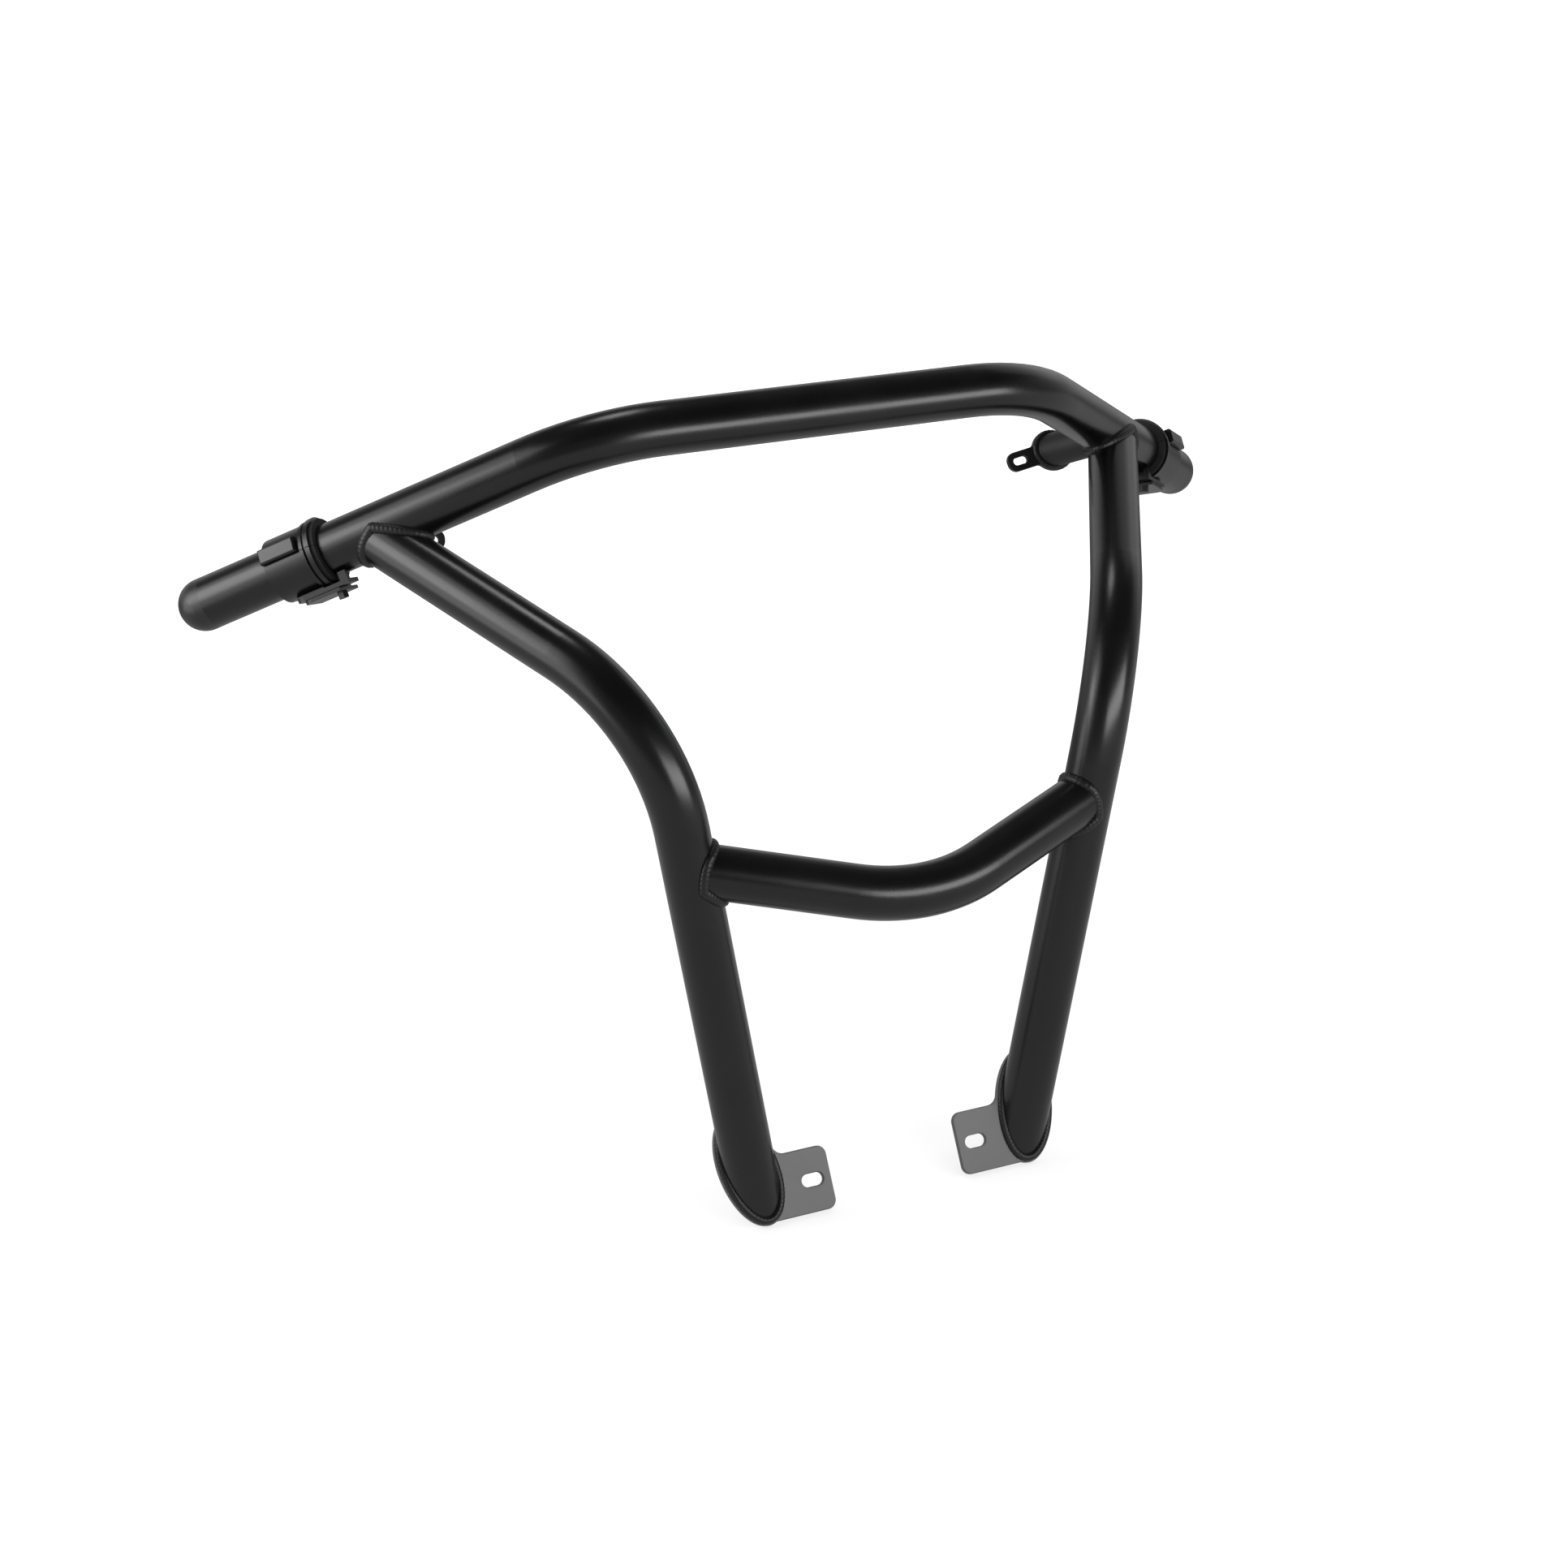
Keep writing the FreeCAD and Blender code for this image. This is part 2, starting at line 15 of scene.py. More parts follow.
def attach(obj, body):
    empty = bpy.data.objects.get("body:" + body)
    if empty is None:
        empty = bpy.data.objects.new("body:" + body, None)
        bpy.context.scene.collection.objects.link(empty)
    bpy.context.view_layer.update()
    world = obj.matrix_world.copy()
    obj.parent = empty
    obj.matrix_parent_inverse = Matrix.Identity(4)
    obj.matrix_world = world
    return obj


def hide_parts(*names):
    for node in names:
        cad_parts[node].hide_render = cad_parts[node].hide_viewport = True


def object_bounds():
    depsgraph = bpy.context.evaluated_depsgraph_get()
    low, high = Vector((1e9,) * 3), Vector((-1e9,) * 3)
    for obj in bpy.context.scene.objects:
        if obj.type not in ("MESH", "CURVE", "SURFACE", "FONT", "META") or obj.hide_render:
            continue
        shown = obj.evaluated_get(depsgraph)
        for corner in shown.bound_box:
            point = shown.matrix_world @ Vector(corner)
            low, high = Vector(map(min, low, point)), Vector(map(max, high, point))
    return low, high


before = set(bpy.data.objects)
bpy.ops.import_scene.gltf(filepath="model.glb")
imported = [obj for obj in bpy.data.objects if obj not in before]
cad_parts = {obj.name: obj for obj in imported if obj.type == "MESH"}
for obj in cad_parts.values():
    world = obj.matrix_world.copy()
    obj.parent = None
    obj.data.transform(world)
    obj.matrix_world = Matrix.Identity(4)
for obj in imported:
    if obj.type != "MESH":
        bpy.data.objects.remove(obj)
cad_low, cad_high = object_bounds()
MM = 0.001
print("CAD box in mm:", [round(v / MM, 1) for v in cad_low], [round(v / MM, 1) for v in cad_high])

# %% [markdown]
# ## Two helpers for finishes
# A paint maker writes a colour as a hex code, which is in sRGB, and a shader wants linear light.
# One function turns the first into the second. Another adds a node, sets its plain values
# and links what other nodes give it, so each finish below reads as a short list of layers.

# %% Colour and node helpers
def linear(hex_code):
    """Turns an sRGB hex colour into the linear colour that a shader takes."""
    channels = [int(hex_code[start:start + 2], 16) / 255 for start in (1, 3, 5)]
    light = [c / 12.92 if c <= 0.04045 else ((c + 0.055) / 1.055) ** 2.4 for c in channels]
    return light + [1.0]


def add_node(tree, kind, sockets, **settings):
    """Adds a node: plain values go on its sockets, and another node's output is linked."""
    node = tree.nodes.new(kind)
    for name, value in settings.items():
        setattr(node, name, value)
    for socket, value in sockets.items():
        if isinstance(value, bpy.types.NodeSocket):
            tree.links.new(value, node.inputs[socket])
        else:
            node.inputs[socket].default_value = value
    return node


def new_finish(name):
    """Makes an empty material and gives its node tree and the piece's own coordinates."""
    material = bpy.data.materials.new(name)
    material.use_nodes = True
    material.node_tree.nodes.clear()
    place = add_node(material.node_tree, "ShaderNodeTexCoord", {})
    return material, material.node_tree, place.outputs["Object"]


print("helpers ready: linear, add_node, new_finish")

# %% [markdown]
# ## Satin black powder coat on steel
# Powder is sprayed on dry and melted in an oven, so it flows into a thick skin with a faint
# orange peel. A picture texture could show that, but noise measured in millimetres fits
# tubes of any shape. Slow clouds vary the gloss a little, as on a real batch of parts.

# %% Powder coat
CLOUD_MM = 70
CLOUD_LOW = 0.3
CLOUD_HIGH = 0.7


def powder_coat(name, dark, pale, smooth, rough, peel_mm, peel_height_mm):
    """Satin powder coat: black in the shade, soft long highlights, a fine orange peel."""
    material, tree, place = new_finish(name)
    cloud = add_node(tree, "ShaderNodeTexNoise", {
        "Vector": place, "Scale": 1 / (CLOUD_MM * MM), "Detail": 4.0})
    shade = add_node(tree, "ShaderNodeValToRGB", {"Fac": cloud.outputs["Fac"]})
    shade.color_ramp.elements[0].position = CLOUD_LOW
    shade.color_ramp.elements[0].color = linear(dark)
    shade.color_ramp.elements[1].position = CLOUD_HIGH
    shade.color_ramp.elements[1].color = linear(pale)
    gloss = add_node(tree, "ShaderNodeMapRange", {
        "Value": cloud.outputs["Fac"], "From Min": CLOUD_LOW, "From Max": CLOUD_HIGH,
        "To Min": smooth, "To Max": rough})
    peel = add_node(tree, "ShaderNodeTexNoise", {
        "Vector": place, "Scale": 1 / (peel_mm * MM), "Detail": 2.0})
    bump = add_node(tree, "ShaderNodeBump", {
        "Height": peel.outputs["Fac"], "Strength": 0.5, "Distance": peel_height_mm * MM})
    shader = add_node(tree, "ShaderNodeBsdfPrincipled", {
        "Base Color": shade.outputs["Color"], "Roughness": gloss.outputs["Result"],
        "Normal": bump.outputs["Normal"], "IOR": 1.5})
    add_node(tree, "ShaderNodeOutputMaterial", {"Surface": shader.outputs["BSDF"]})
    return material


print("powder coat varies over", CLOUD_MM, "mm")

# %% [markdown]
# ## One coat for each kind of steel
# The same powder doesn't look alike everywhere. On drawn tube it lies smooth and glossy. Welds
# and cast clamps are rougher, which dulls it. Under the top tube the spray hardly reaches the
# stubs, so their coat is thin and matt. The feet's coat is painted grey: a painted sheen for the
# lamp that their flat black faces reflect.

# %% Coats of the bumper
tube_coat = powder_coat(
    "satin black powder coat on tube", "#060607", "#0a0a0b",
    smooth=0.24, rough=0.30, peel_mm=2.2, peel_height_mm=0.05)
plate_coat = powder_coat(
    "satin black powder coat on plate", "#0c0c0d", "#121213",
    smooth=0.36, rough=0.44, peel_mm=1.8, peel_height_mm=0.05)
# The feet's grey is painted sheen: it stands in for the lamp that the flat black plates reflect.
foot_coat_painted_sheen = powder_coat(
    "black powder coat on foot painted grey as sheen", "#3d3d3e", "#48484a",
    smooth=0.32, rough=0.40, peel_mm=1.8, peel_height_mm=0.05)
bead_coat = powder_coat(
    "powder coat over weld bead", "#080809", "#0d0d0e",
    smooth=0.40, rough=0.50, peel_mm=1.5, peel_height_mm=0.04)
clamp_coat = powder_coat(
    "powder coat on cast clamp", "#080809", "#0d0d0e",
    smooth=0.27, rough=0.36, peel_mm=1.2, peel_height_mm=0.06)
corner_coat = powder_coat(
    "thin powder coat in a corner", "#070708", "#0b0b0c",
    smooth=0.50, rough=0.60, peel_mm=1.2, peel_height_mm=0.06)
for coat in (tube_coat, plate_coat, foot_coat_painted_sheen, bead_coat, clamp_coat, corner_coat):
    print("powder coat:", coat.name)

# %% [markdown]
# ## Moulded cap, rubber liner and coated screw
# The end caps are moulded polyethylene with a spark-eroded grain, which is matt and a little
# grey. The liner is plain rubber that gives almost no highlight. The screw is steel with a
# black zinc coat, so it keeps a metal's sheen. Each is its own short function.

# %% Cap, liner and screw finishes
def moulded_polyethylene(name):
    """Grained black plastic: broad dull highlights over a dark grey body."""
    material, tree, place = new_finish(name)
    cloud = add_node(tree, "ShaderNodeTexNoise", {
        "Vector": place, "Scale": 1 / (18 * MM), "Detail": 3.0})
    shade = add_node(tree, "ShaderNodeValToRGB", {"Fac": cloud.outputs["Fac"]})
    shade.color_ramp.elements[0].color = linear("#141415")
    shade.color_ramp.elements[1].color = linear("#1d1d1e")
    grain = add_node(tree, "ShaderNodeTexNoise", {
        "Vector": place, "Scale": 1 / (0.9 * MM), "Detail": 3.0})
    bump = add_node(tree, "ShaderNodeBump", {
        "Height": grain.outputs["Fac"], "Strength": 0.5, "Distance": 0.06 * MM})
    shader = add_node(tree, "ShaderNodeBsdfPrincipled", {
        "Base Color": shade.outputs["Color"], "Roughness": 0.34,
        "Normal": bump.outputs["Normal"], "IOR": 1.5})
    add_node(tree, "ShaderNodeOutputMaterial", {"Surface": shader.outputs["BSDF"]})
    return material


def pressed_rubber(name):
    """Matt rubber: a black body with a dusty bloom in patches."""
    material, tree, place = new_finish(name)
    bloom = add_node(tree, "ShaderNodeTexNoise", {
        "Vector": place, "Scale": 1 / (6 * MM), "Detail": 5.0})
    shade = add_node(tree, "ShaderNodeValToRGB", {"Fac": bloom.outputs["Fac"]})
    shade.color_ramp.elements[0].color = linear("#0b0b0b")
    shade.color_ramp.elements[1].color = linear("#151515")
    shader = add_node(tree, "ShaderNodeBsdfPrincipled", {
        "Base Color": shade.outputs["Color"], "Roughness": 0.78, "IOR": 1.5})
    add_node(tree, "ShaderNodeOutputMaterial", {"Surface": shader.outputs["BSDF"]})
    return material


def black_zinc(name):
    """Black zinc on steel: a dark metal sheen with small dull patches."""
    material, tree, place = new_finish(name)
    wear = add_node(tree, "ShaderNodeTexNoise", {
        "Vector": place, "Scale": 1 / (2.5 * MM), "Detail": 4.0})
    gloss = add_node(tree, "ShaderNodeMapRange", {
        "Value": wear.outputs["Fac"], "To Min": 0.32, "To Max": 0.5})
    shader = add_node(tree, "ShaderNodeBsdfPrincipled", {
        "Base Color": linear("#4a4a4c"), "Metallic": 1.0, "Roughness": gloss.outputs["Result"]})
    add_node(tree, "ShaderNodeOutputMaterial", {"Surface": shader.outputs["BSDF"]})
    return material


cap_plastic = moulded_polyethylene("grained moulded polyethylene")
liner_rubber = pressed_rubber("pressed black rubber")
screw_zinc = black_zinc("black zinc on steel")
print("other finishes:", cap_plastic.name, liner_rubber.name, screw_zinc.name)

# %% [markdown]
# ## Paint the solids
# Every CAD node has a plain name, so the end of the name tells what it was painted with.
# A list of endings keeps both sides of the bumper alike and misses no node.

# %% Give each node its finish
FINISHES = {
    "tube": tube_coat,
    "upright": tube_coat,
    "stub": corner_coat,
    "plate": plate_coat,
    "weld": bead_coat,
    "half": clamp_coat,
    "cap": cap_plastic,
    "liner": liner_rubber,
    "screw": screw_zinc,
}
# The feet get the coat painted grey, a painted sheen; every other node follows its ending.
for node_name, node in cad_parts.items():
    is_foot = node_name.endswith("foot_plate")
    node.data.materials.clear()
    node.data.materials.append(foot_coat_painted_sheen if is_foot else FINISHES[node_name.split("_")[-1]])
print("painted", len(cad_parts), "nodes")

# %% [markdown]
# ## Where the tubes run
# A weld follows the line where one tube meets another, so the beads need the tubes' axes.
# They could be measured on the mesh, but the same few sizes that drive the CAD part give
# them exactly. Only the right side is written down, and the left is its mirror image.

# %% Axes of the tubes
TUBE_RADIUS = 44.45 / 2 * MM
STUB_RADIUS = 31.75 / 2 * MM
TOP_BEND = Vector((198.1, 151.7, 619.9)) * MM
END_SWEEP = math.radians(35.9)
END_DROP = math.radians(25.4)
UPRIGHT_STATION = 207.5 * MM
UPRIGHT_BEND = Vector((206.1, 6.3, 433.1)) * MM
LEG_LEAN_IN = math.radians(10.2)
LEG_LEAN_FORWARD = math.radians(0.5)
CROSS_DROP = 134.3 * MM
CROSS_BEND = Vector((0, -57.0, 263.3)) * MM
STUB_STATION = 202.0 * MM
BRACKET_CENTRE = Vector((319.0, 314.6, 507.5)) * MM
PLATE_TILT = math.radians(29.5)

end_way = Vector((
    math.cos(END_DROP) * math.cos(END_SWEEP),
    math.cos(END_DROP) * math.sin(END_SWEEP),
    -math.sin(END_DROP),
))
leg_way = Vector((-math.tan(LEG_LEAN_IN), math.tan(LEG_LEAN_FORWARD), -1)).normalized()
upright_joint = TOP_BEND + end_way * UPRIGHT_STATION
upright_way = (UPRIGHT_BEND - upright_joint).normalized()
cross_joint = UPRIGHT_BEND + leg_way * CROSS_DROP
cross_way = (CROSS_BEND - cross_joint).normalized()
stub_joint = TOP_BEND + end_way * STUB_STATION
stub_way = (BRACKET_CENTRE - stub_joint).normalized()
plate_back = Vector((0, -math.cos(PLATE_TILT), math.sin(PLATE_TILT)))
print("upright joint in mm:", [round(v / MM, 1) for v in upright_joint])

# %% [markdown]
# ## The line of each weld
# Walk round the branch tube, and from each point of its skin go along the tube until the
# other skin is met: for a tube that is a quadratic, for a plate a plain division. The sharp
# point of a coped tube is ground blunt, so the line cuts across there. The direction between
# the two skins is kept too, because the bead bulges that way.

# %% Weld lines
WALK_STEPS = 720
COPE_BLUNT = 12.0 * MM
BLUNT_BLEND = 4.0 * MM


def round_branch(point, way, radius):
    """Yields points round a branch tube's skin, each with the direction straight out."""
    across = way.orthogonal().normalized()
    beside = way.cross(across)
    for step in range(WALK_STEPS):
        angle = 2 * math.pi * step / WALK_STEPS
        out = across * math.cos(angle) + beside * math.sin(angle)
        yield point + out * radius, out


def tube_weld_line(main_way, point, way, radius, blunt):
    """Marks where a branch tube's skin, or its blunted point, meets the main tube's skin."""
    line = []
    for start, out in round_branch(point, way, radius):
        gap = start - point
        flat_gap = gap - main_way * gap.dot(main_way)
        flat_way = way - main_way * way.dot(main_way)
        half = flat_gap.dot(flat_way) / flat_way.length_squared
        rest = (flat_gap.length_squared - TUBE_RADIUS ** 2) / flat_way.length_squared
        reach = math.sqrt(max(half * half - rest, 0)) - half
        met = start + way * max(reach, blunt)
        radial = met - point
        radial -= main_way * radial.dot(main_way)
        met += radial.normalized() * (TUBE_RADIUS - radial.length)
        square = min(max((blunt - reach) / BLUNT_BLEND, 0), 1)
        line.append((met, (radial.normalized() + out.lerp(-way, square)).normalized()))
    return line


def plate_weld_line(plate_point, point, way, radius):
    """Marks where a tube's skin meets the back face of a plate."""
    line = []
    for start, out in round_branch(point, way, radius):
        reach = (plate_point - start).dot(plate_back) / way.dot(plate_back)
        line.append((start + way * reach, (out + plate_back).normalized()))
    return line


weld_lines = {
    "upright": tube_weld_line(end_way, upright_joint, upright_way, TUBE_RADIUS, COPE_BLUNT),
    "cross": tube_weld_line(leg_way, cross_joint, cross_way, TUBE_RADIUS, COPE_BLUNT),
    "stub": tube_weld_line(end_way, stub_joint, stub_way, STUB_RADIUS, 0.0),
    "foot": plate_weld_line(Vector((0, 0, 0)), UPRIGHT_BEND, leg_way, TUBE_RADIUS),
    "bracket": plate_weld_line(BRACKET_CENTRE, stub_joint, stub_way, STUB_RADIUS),
}
print("weld lines:", list(weld_lines))

# %% [markdown]
# ## Even steps along a weld
# A welder moves on at a steady pace, but the walk above takes longer steps where the line
# slants. So the line is cut again into equal steps, and their number is chosen so that whole
# ripples fit round it. A second helper hangs a finished shape on the bumper.

# %% Ring spacing and pieces
RIPPLE_PITCH = 3.6 * MM
RINGS_PER_RIPPLE = 6


def even_rings(line):
    """Spaces a closed weld line evenly, so that whole ripples fit round it."""
    points = [point for point, out in line]
    steps = [(b - a).length for a, b in zip(points, points[1:] + points[:1])]
    rings = round(sum(steps) / RIPPLE_PITCH) * RINGS_PER_RIPPLE
    spacing = sum(steps) / rings
    even = []
    walked = 0.0
    for index, step in enumerate(steps):
        after = (index + 1) % len(line)
        while len(even) < rings and len(even) * spacing < walked + step:
            share = (len(even) * spacing - walked) / step
            point = points[index].lerp(points[after], share)
            even.append((point, line[index][1].lerp(line[after][1], share).normalized()))
        walked += step
    return even


def add_piece(name, shape, material):
    """Turns a finished bmesh into an object that rides on the bumper."""
    mesh = bpy.data.meshes.new(name)
    shape.to_mesh(mesh)
    shape.free()
    mesh.materials.append(material)
    piece = bpy.data.objects.new(name, mesh)
    bpy.context.scene.collection.objects.link(piece)
    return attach(piece, "root")


print("rings along the upright's weld:", len(even_rings(weld_lines["upright"])))

# %% [markdown]
# ## Rippled weld beads
# Each pool of a weld freezes over the last one, so the bead is a row of overlapping crescents.
# Bump alone would leave a smooth outline, so the ripples are real: a grid is wrapped round the
# weld line, and its radius swells once per ripple. The swell lags at the sides, which bends
# each ripple to a crescent. Under a thick coat the ripples are shallow.

# %% Build the beads
BEAD_RADIUS = {
    "upright": 4.8 * MM,
    "cross": 4.6 * MM,
    "stub": 3.6 * MM,
    "foot": 3.6 * MM,
    "bracket": 3.4 * MM,
}
BEAD_LIFT = 0.2 * MM
RIPPLE_DEPTH = 0.10
RIPPLE_LAG = 0.5
BEAD_SIDES = 14
SEAM_GAP = 0.01 * MM


def rippled_bead(name, line, full_radius):
    """Wraps a grid round a weld line as a closed, rippled bead."""
    rings = even_rings(line)
    shape = bmesh.new()
    bmesh.ops.create_grid(shape, x_segments=len(rings), y_segments=BEAD_SIDES, size=0.5)
    for vert in shape.verts:
        index = round((vert.co.x + 0.5) * len(rings)) % len(rings)
        turn = 2 * math.pi * (vert.co.y + 0.5)
        point, out = rings[index]
        ahead = rings[(index + 1) % len(rings)][0] - rings[index - 1][0]
        side = ahead.cross(out).normalized()
        phase = index / RINGS_PER_RIPPLE + RIPPLE_LAG * math.cos(turn)
        radius = full_radius * (1 - RIPPLE_DEPTH * (phase % 1.0))
        rise = BEAD_LIFT + radius * math.cos(turn)
        vert.co = point + out * rise + side * (radius * math.sin(turn))
    bmesh.ops.remove_doubles(shape, verts=shape.verts, dist=SEAM_GAP)
    bmesh.ops.recalc_face_normals(shape, faces=shape.faces)
    for face in shape.faces:
        face.smooth = True
    return add_piece(name, shape, bead_coat)


for weld, line in weld_lines.items():
    flipped = [(Vector((-p.x, p.y, p.z)), Vector((-o.x, o.y, o.z))) for p, o in line]
    for side, side_line in (("right", line), ("left", flipped)):
        bead = rippled_bead(f"{side}_{weld}_bead", side_line, BEAD_RADIUS[weld])
        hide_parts(f"{side}_{weld}_weld")
        print(bead.name, len(bead.data.polygons), "faces")

# %% [markdown]
# ## Softened edges on plates and clamps
# Laser-cut plates and cast clamps have no knife edges: tumbling and a thick coat round them
# by about half a millimetre, and that round catches a thin line of light. A copy of each
# solid is merged, its flat triangles joined, and its sharp edges bevelled. Normals weighted
# by area keep the flat faces flat beside the new rounds.

# %% Round the sharp edges
SHARP = math.radians(38)
FLAT = math.radians(0.6)
LOOSE_GAP = 0.002 * MM
SOFT_EDGES = {
    "foot_plate": (0.8 * MM, "plate_paint"),
    "bracket_plate": (0.7 * MM, "plate_paint"),
    "clamp_front_half": (0.6 * MM, "clamp_coat"),
    "clamp_rear_half": (0.6 * MM, "clamp_coat"),
    "clamp_screw": (0.4 * MM, "screw_steel"),
}


def softened(node_name, rounding):
    """Makes a copy of a CAD node with its sharp edges rounded, to stand for it."""
    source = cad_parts[node_name]
    shape = bmesh.new()
    shape.from_mesh(source.data)
    bmesh.ops.remove_doubles(shape, verts=shape.verts, dist=LOOSE_GAP)
    bmesh.ops.dissolve_limit(shape, angle_limit=FLAT, verts=shape.verts, edges=shape.edges)
    sharp = [edge for edge in shape.edges if edge.is_manifold and edge.calc_face_angle() > SHARP]
    bmesh.ops.bevel(
        shape, geom=sharp, offset=rounding, offset_type="OFFSET", segments=2, profile=0.5,
        affect="EDGES", material=-1, clamp_overlap=True)
    for face in shape.faces:
        face.smooth = True
    piece = add_piece(node_name + "_softened", shape, source.data.materials[0])
    piece.data.set_sharp_from_angle(angle=SHARP)
    even = piece.modifiers.new("flat faces stay flat", "WEIGHTED_NORMAL")
    even.weight = 100
    even.keep_sharp = True
    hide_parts(node_name)
    print(piece.name, len(piece.data.polygons), "faces")


for side in ("left", "right"):
    for piece_name, (rounding, slot) in SOFT_EDGES.items():
        softened(f"{side}_{piece_name}", rounding)

# %% [markdown]
# ## White floor
# The bumper stands on a pale sheet of paper, and the background is white. More light on the
# scene would wash out the black coat, so the sheet glows instead, and only where the camera
# looks. It glows less near the feet, where the paper then shows their soft shadow. In gloss
# it is dimmer, and dimmest ahead: a white sheet there would rim every tube with light.

# %% Floor
FLOOR_HALF_SIZE = 8.0


def studio_floor(height):
    """Lays a wide white sheet under the feet."""
    shape = bmesh.new()
    bmesh.ops.create_grid(shape, x_segments=1, y_segments=1, size=FLOOR_HALF_SIZE)
    bmesh.ops.translate(shape, verts=shape.verts, vec=Vector((0, 0, height)))
    mesh = bpy.data.meshes.new("studio_floor")
    shape.to_mesh(mesh)
    shape.free()
    floor = bpy.data.objects.new("studio_floor", mesh)
    bpy.context.scene.collection.objects.link(floor)
    mesh.materials.append(paper_sheet())


def paper_sheet():
    """White paper: bright and even to the camera, a soft grey in the bumper's gloss."""
    material, tree, place = new_finish("white paper sheet")
    rays = add_node(tree, "ShaderNodeLightPath", {})
    seen = add_node(tree, "ShaderNodeMath", {
        0: rays.outputs["Is Camera Ray"],
        1: rays.outputs["Is Transmission Ray"]}, operation="MAXIMUM")
    away = add_node(tree, "ShaderNodeVectorMath", {0: place}, operation="LENGTH")
    plain = add_node(tree, "ShaderNodeMapRange", {
        "Value": away.outputs["Value"], "From Min": 0.5, "From Max": 2.0,
        "To Min": 0.68, "To Max": 1.0})
    level = add_node(tree, "ShaderNodeMath", {
        0: seen.outputs[0], 1: plain.outputs["Result"]}, operation="MULTIPLY")
    shine = add_node(tree, "ShaderNodeEmission", {"Strength": level.outputs[0]})
    paper = add_node(tree, "ShaderNodeBsdfDiffuse", {"Color": linear("#8f8f8f")})
    sheet = add_node(tree, "ShaderNodeAddShader", {0: paper.outputs[0], 1: shine.outputs[0]})
    axes = add_node(tree, "ShaderNodeSeparateXYZ", {"Vector": place})
    dimmer = add_node(tree, "ShaderNodeMapRange", {
        "Value": axes.outputs["Y"], "From Min": 0.6, "From Max": 1.4,
        "To Min": 0.58, "To Max": 0.22})
    mirrored = add_node(tree, "ShaderNodeEmission", {"Strength": dimmer.outputs["Result"]})
    whole = add_node(tree, "ShaderNodeMixShader", {
        0: rays.outputs["Is Glossy Ray"], 1: sheet.outputs[0], 2: mirrored.outputs[0]})
    add_node(tree, "ShaderNodeOutputMaterial", {"Surface": whole.outputs[0]})
    return material


studio_floor(cad_low.z)
print("floor at", round(cad_low.z / MM, 1), "mm")

# %% [markdown]
# ## White world
# Past the floor the world is white too, and it gives matt surfaces an even light. In gloss it
# is a pale sweep, low and ahead of the bumper, and it is dark above and behind the camera.
# That is how a studio with one white wall looks, and it keeps the coat black between its
# highlights.

# %% World
def studio_world():
    """Makes the world white for the camera, and a pale low sweep in reflections."""
    world = bpy.data.worlds.new("white studio")
    bpy.context.scene.world = world
    world.use_nodes = True
    tree = world.node_tree
    tree.nodes.clear()
    place = add_node(tree, "ShaderNodeTexCoord", {})
    axes = add_node(tree, "ShaderNodeSeparateXYZ", {"Vector": place.outputs["Generated"]})
    band = add_node(tree, "ShaderNodeMapRange", {
        "Value": axes.outputs["Z"], "From Min": 0.3, "From Max": 0.62,
        "To Min": 0.65, "To Max": 0.06}, interpolation_type="SMOOTHSTEP")
    ahead = add_node(tree, "ShaderNodeMapRange", {
        "Value": axes.outputs["Y"], "From Min": -0.4, "From Max": 0.4,
        "To Min": 0.25, "To Max": 1.0})
    sweep = add_node(tree, "ShaderNodeMath", {
        0: band.outputs["Result"], 1: ahead.outputs["Result"]}, operation="MULTIPLY")
    rays = add_node(tree, "ShaderNodeLightPath", {})
    mirror = add_node(tree, "ShaderNodeMix", {
        "Factor": rays.outputs["Is Glossy Ray"], "A": 1.0, "B": sweep.outputs[0]})
    clear = add_node(tree, "ShaderNodeMath", {
        0: rays.outputs["Is Camera Ray"],
        1: rays.outputs["Is Transmission Ray"]}, operation="MAXIMUM")
    seen = add_node(tree, "ShaderNodeMix", {
        "Factor": clear.outputs[0], "A": mirror.outputs["Result"], "B": 1.0})
    sky = add_node(tree, "ShaderNodeBackground", {
        "Color": linear("#ffffff"), "Strength": seen.outputs["Result"]})
    add_node(tree, "ShaderNodeOutputWorld", {"Surface": sky.outputs["Background"]})
    print("world:", world.name)


studio_world()

# %% [markdown]
# ## Softboxes
# Black gloss shows its lamps more than its colour, so the lamps draw the tubes. A wide box on
# the left with a brighter core gives the broad sheen on the left tubes, and a low strip on the
# camera's side gives the long line on the top and cross tubes. A small box overhead adds a
# thin line, and a weak one fills the right. Each is set by its place, size and brightness.

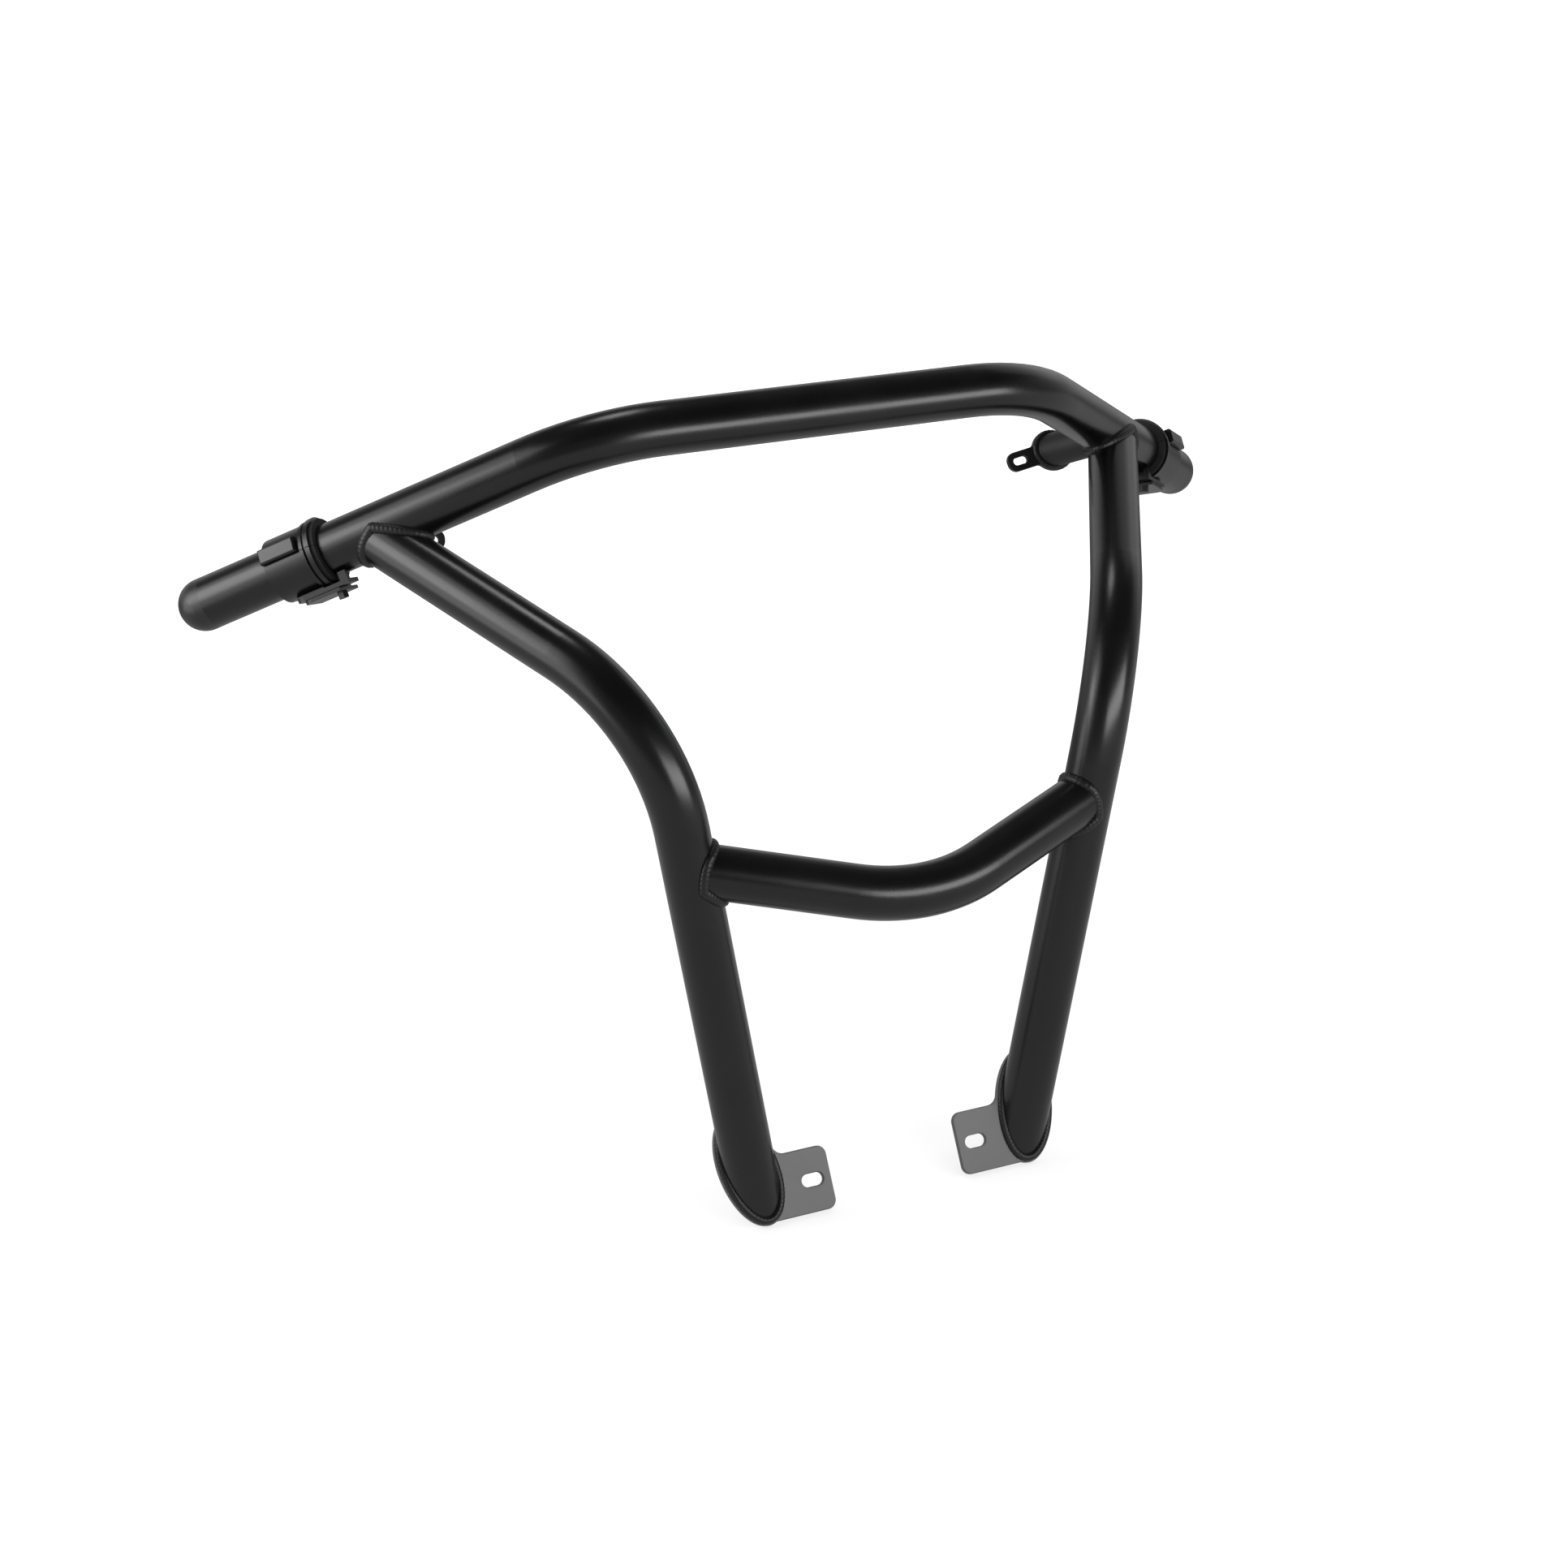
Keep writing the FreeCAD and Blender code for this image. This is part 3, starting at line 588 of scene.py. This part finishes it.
# %% Lamps
STUDIO_CENTRE = Vector((0, 0.15, 0.45))
WATTS_PER_SQUARE_METRE = 4  # at this power an area lamp's face looks as bright as plain white


def softbox(name, place, width, height, brightness):
    """Stands a rectangular lamp at a place, facing the middle of the bumper."""
    light = bpy.data.lights.new(name, "AREA")
    light.shape = "RECTANGLE"
    light.size = width
    light.size_y = height
    light.energy = brightness * WATTS_PER_SQUARE_METRE * width * height
    lamp = bpy.data.objects.new(name, light)
    lamp.location = place
    lamp.rotation_euler = (lamp.location - STUDIO_CENTRE).to_track_quat("Z", "Y").to_euler()
    bpy.context.scene.collection.objects.link(lamp)
    print(name, "at", [round(v, 2) for v in lamp.location])


softbox("left_softbox", (-1.42, 0.30, 0.85), width=1.2, height=1.6, brightness=1.5)
softbox("left_softbox_core", (-1.38, 0.30, 0.92), width=0.55, height=0.6, brightness=3.0)
softbox("camera_side_softbox", (0.50, -1.00, 0.61), width=1.25, height=0.38, brightness=4.8)
softbox("right_fill", (1.45, 0.85, 1.50), width=1.1, height=1.1, brightness=0.3)
softbox("top_softbox", (-0.05, 0.74, 2.30), width=0.5, height=0.5, brightness=4.5)

# %% [markdown]
# ## Camera
# The photograph was taken from behind, left of the middle and a little above. Its direction,
# focal length and shift were worked out from the straight tubes and their vanishing points.

# %% Camera
CAMERA_PLACE = Vector((-1.02419, -1.97208, 1.23045))
CAMERA_RIGHT = Vector((0.90073, -0.43438, 0.0))
CAMERA_UP = Vector((0.15649, 0.32449, 0.93286))
lens = bpy.data.cameras.new("photo camera")
lens.sensor_width = 36.0
lens.lens = 67.87
lens.shift_x = -0.02158
lens.shift_y = -0.02084
camera = bpy.data.objects.new("photo camera", lens)
axes = Matrix((CAMERA_RIGHT, CAMERA_UP, CAMERA_RIGHT.cross(CAMERA_UP))).transposed()
camera.matrix_world = Matrix.Translation(CAMERA_PLACE) @ axes.to_4x4()
bpy.context.scene.collection.objects.link(camera)
bpy.context.scene.camera = camera
bpy.context.scene.view_settings.view_transform = "Standard"
print("camera at", [round(v, 2) for v in camera.location])
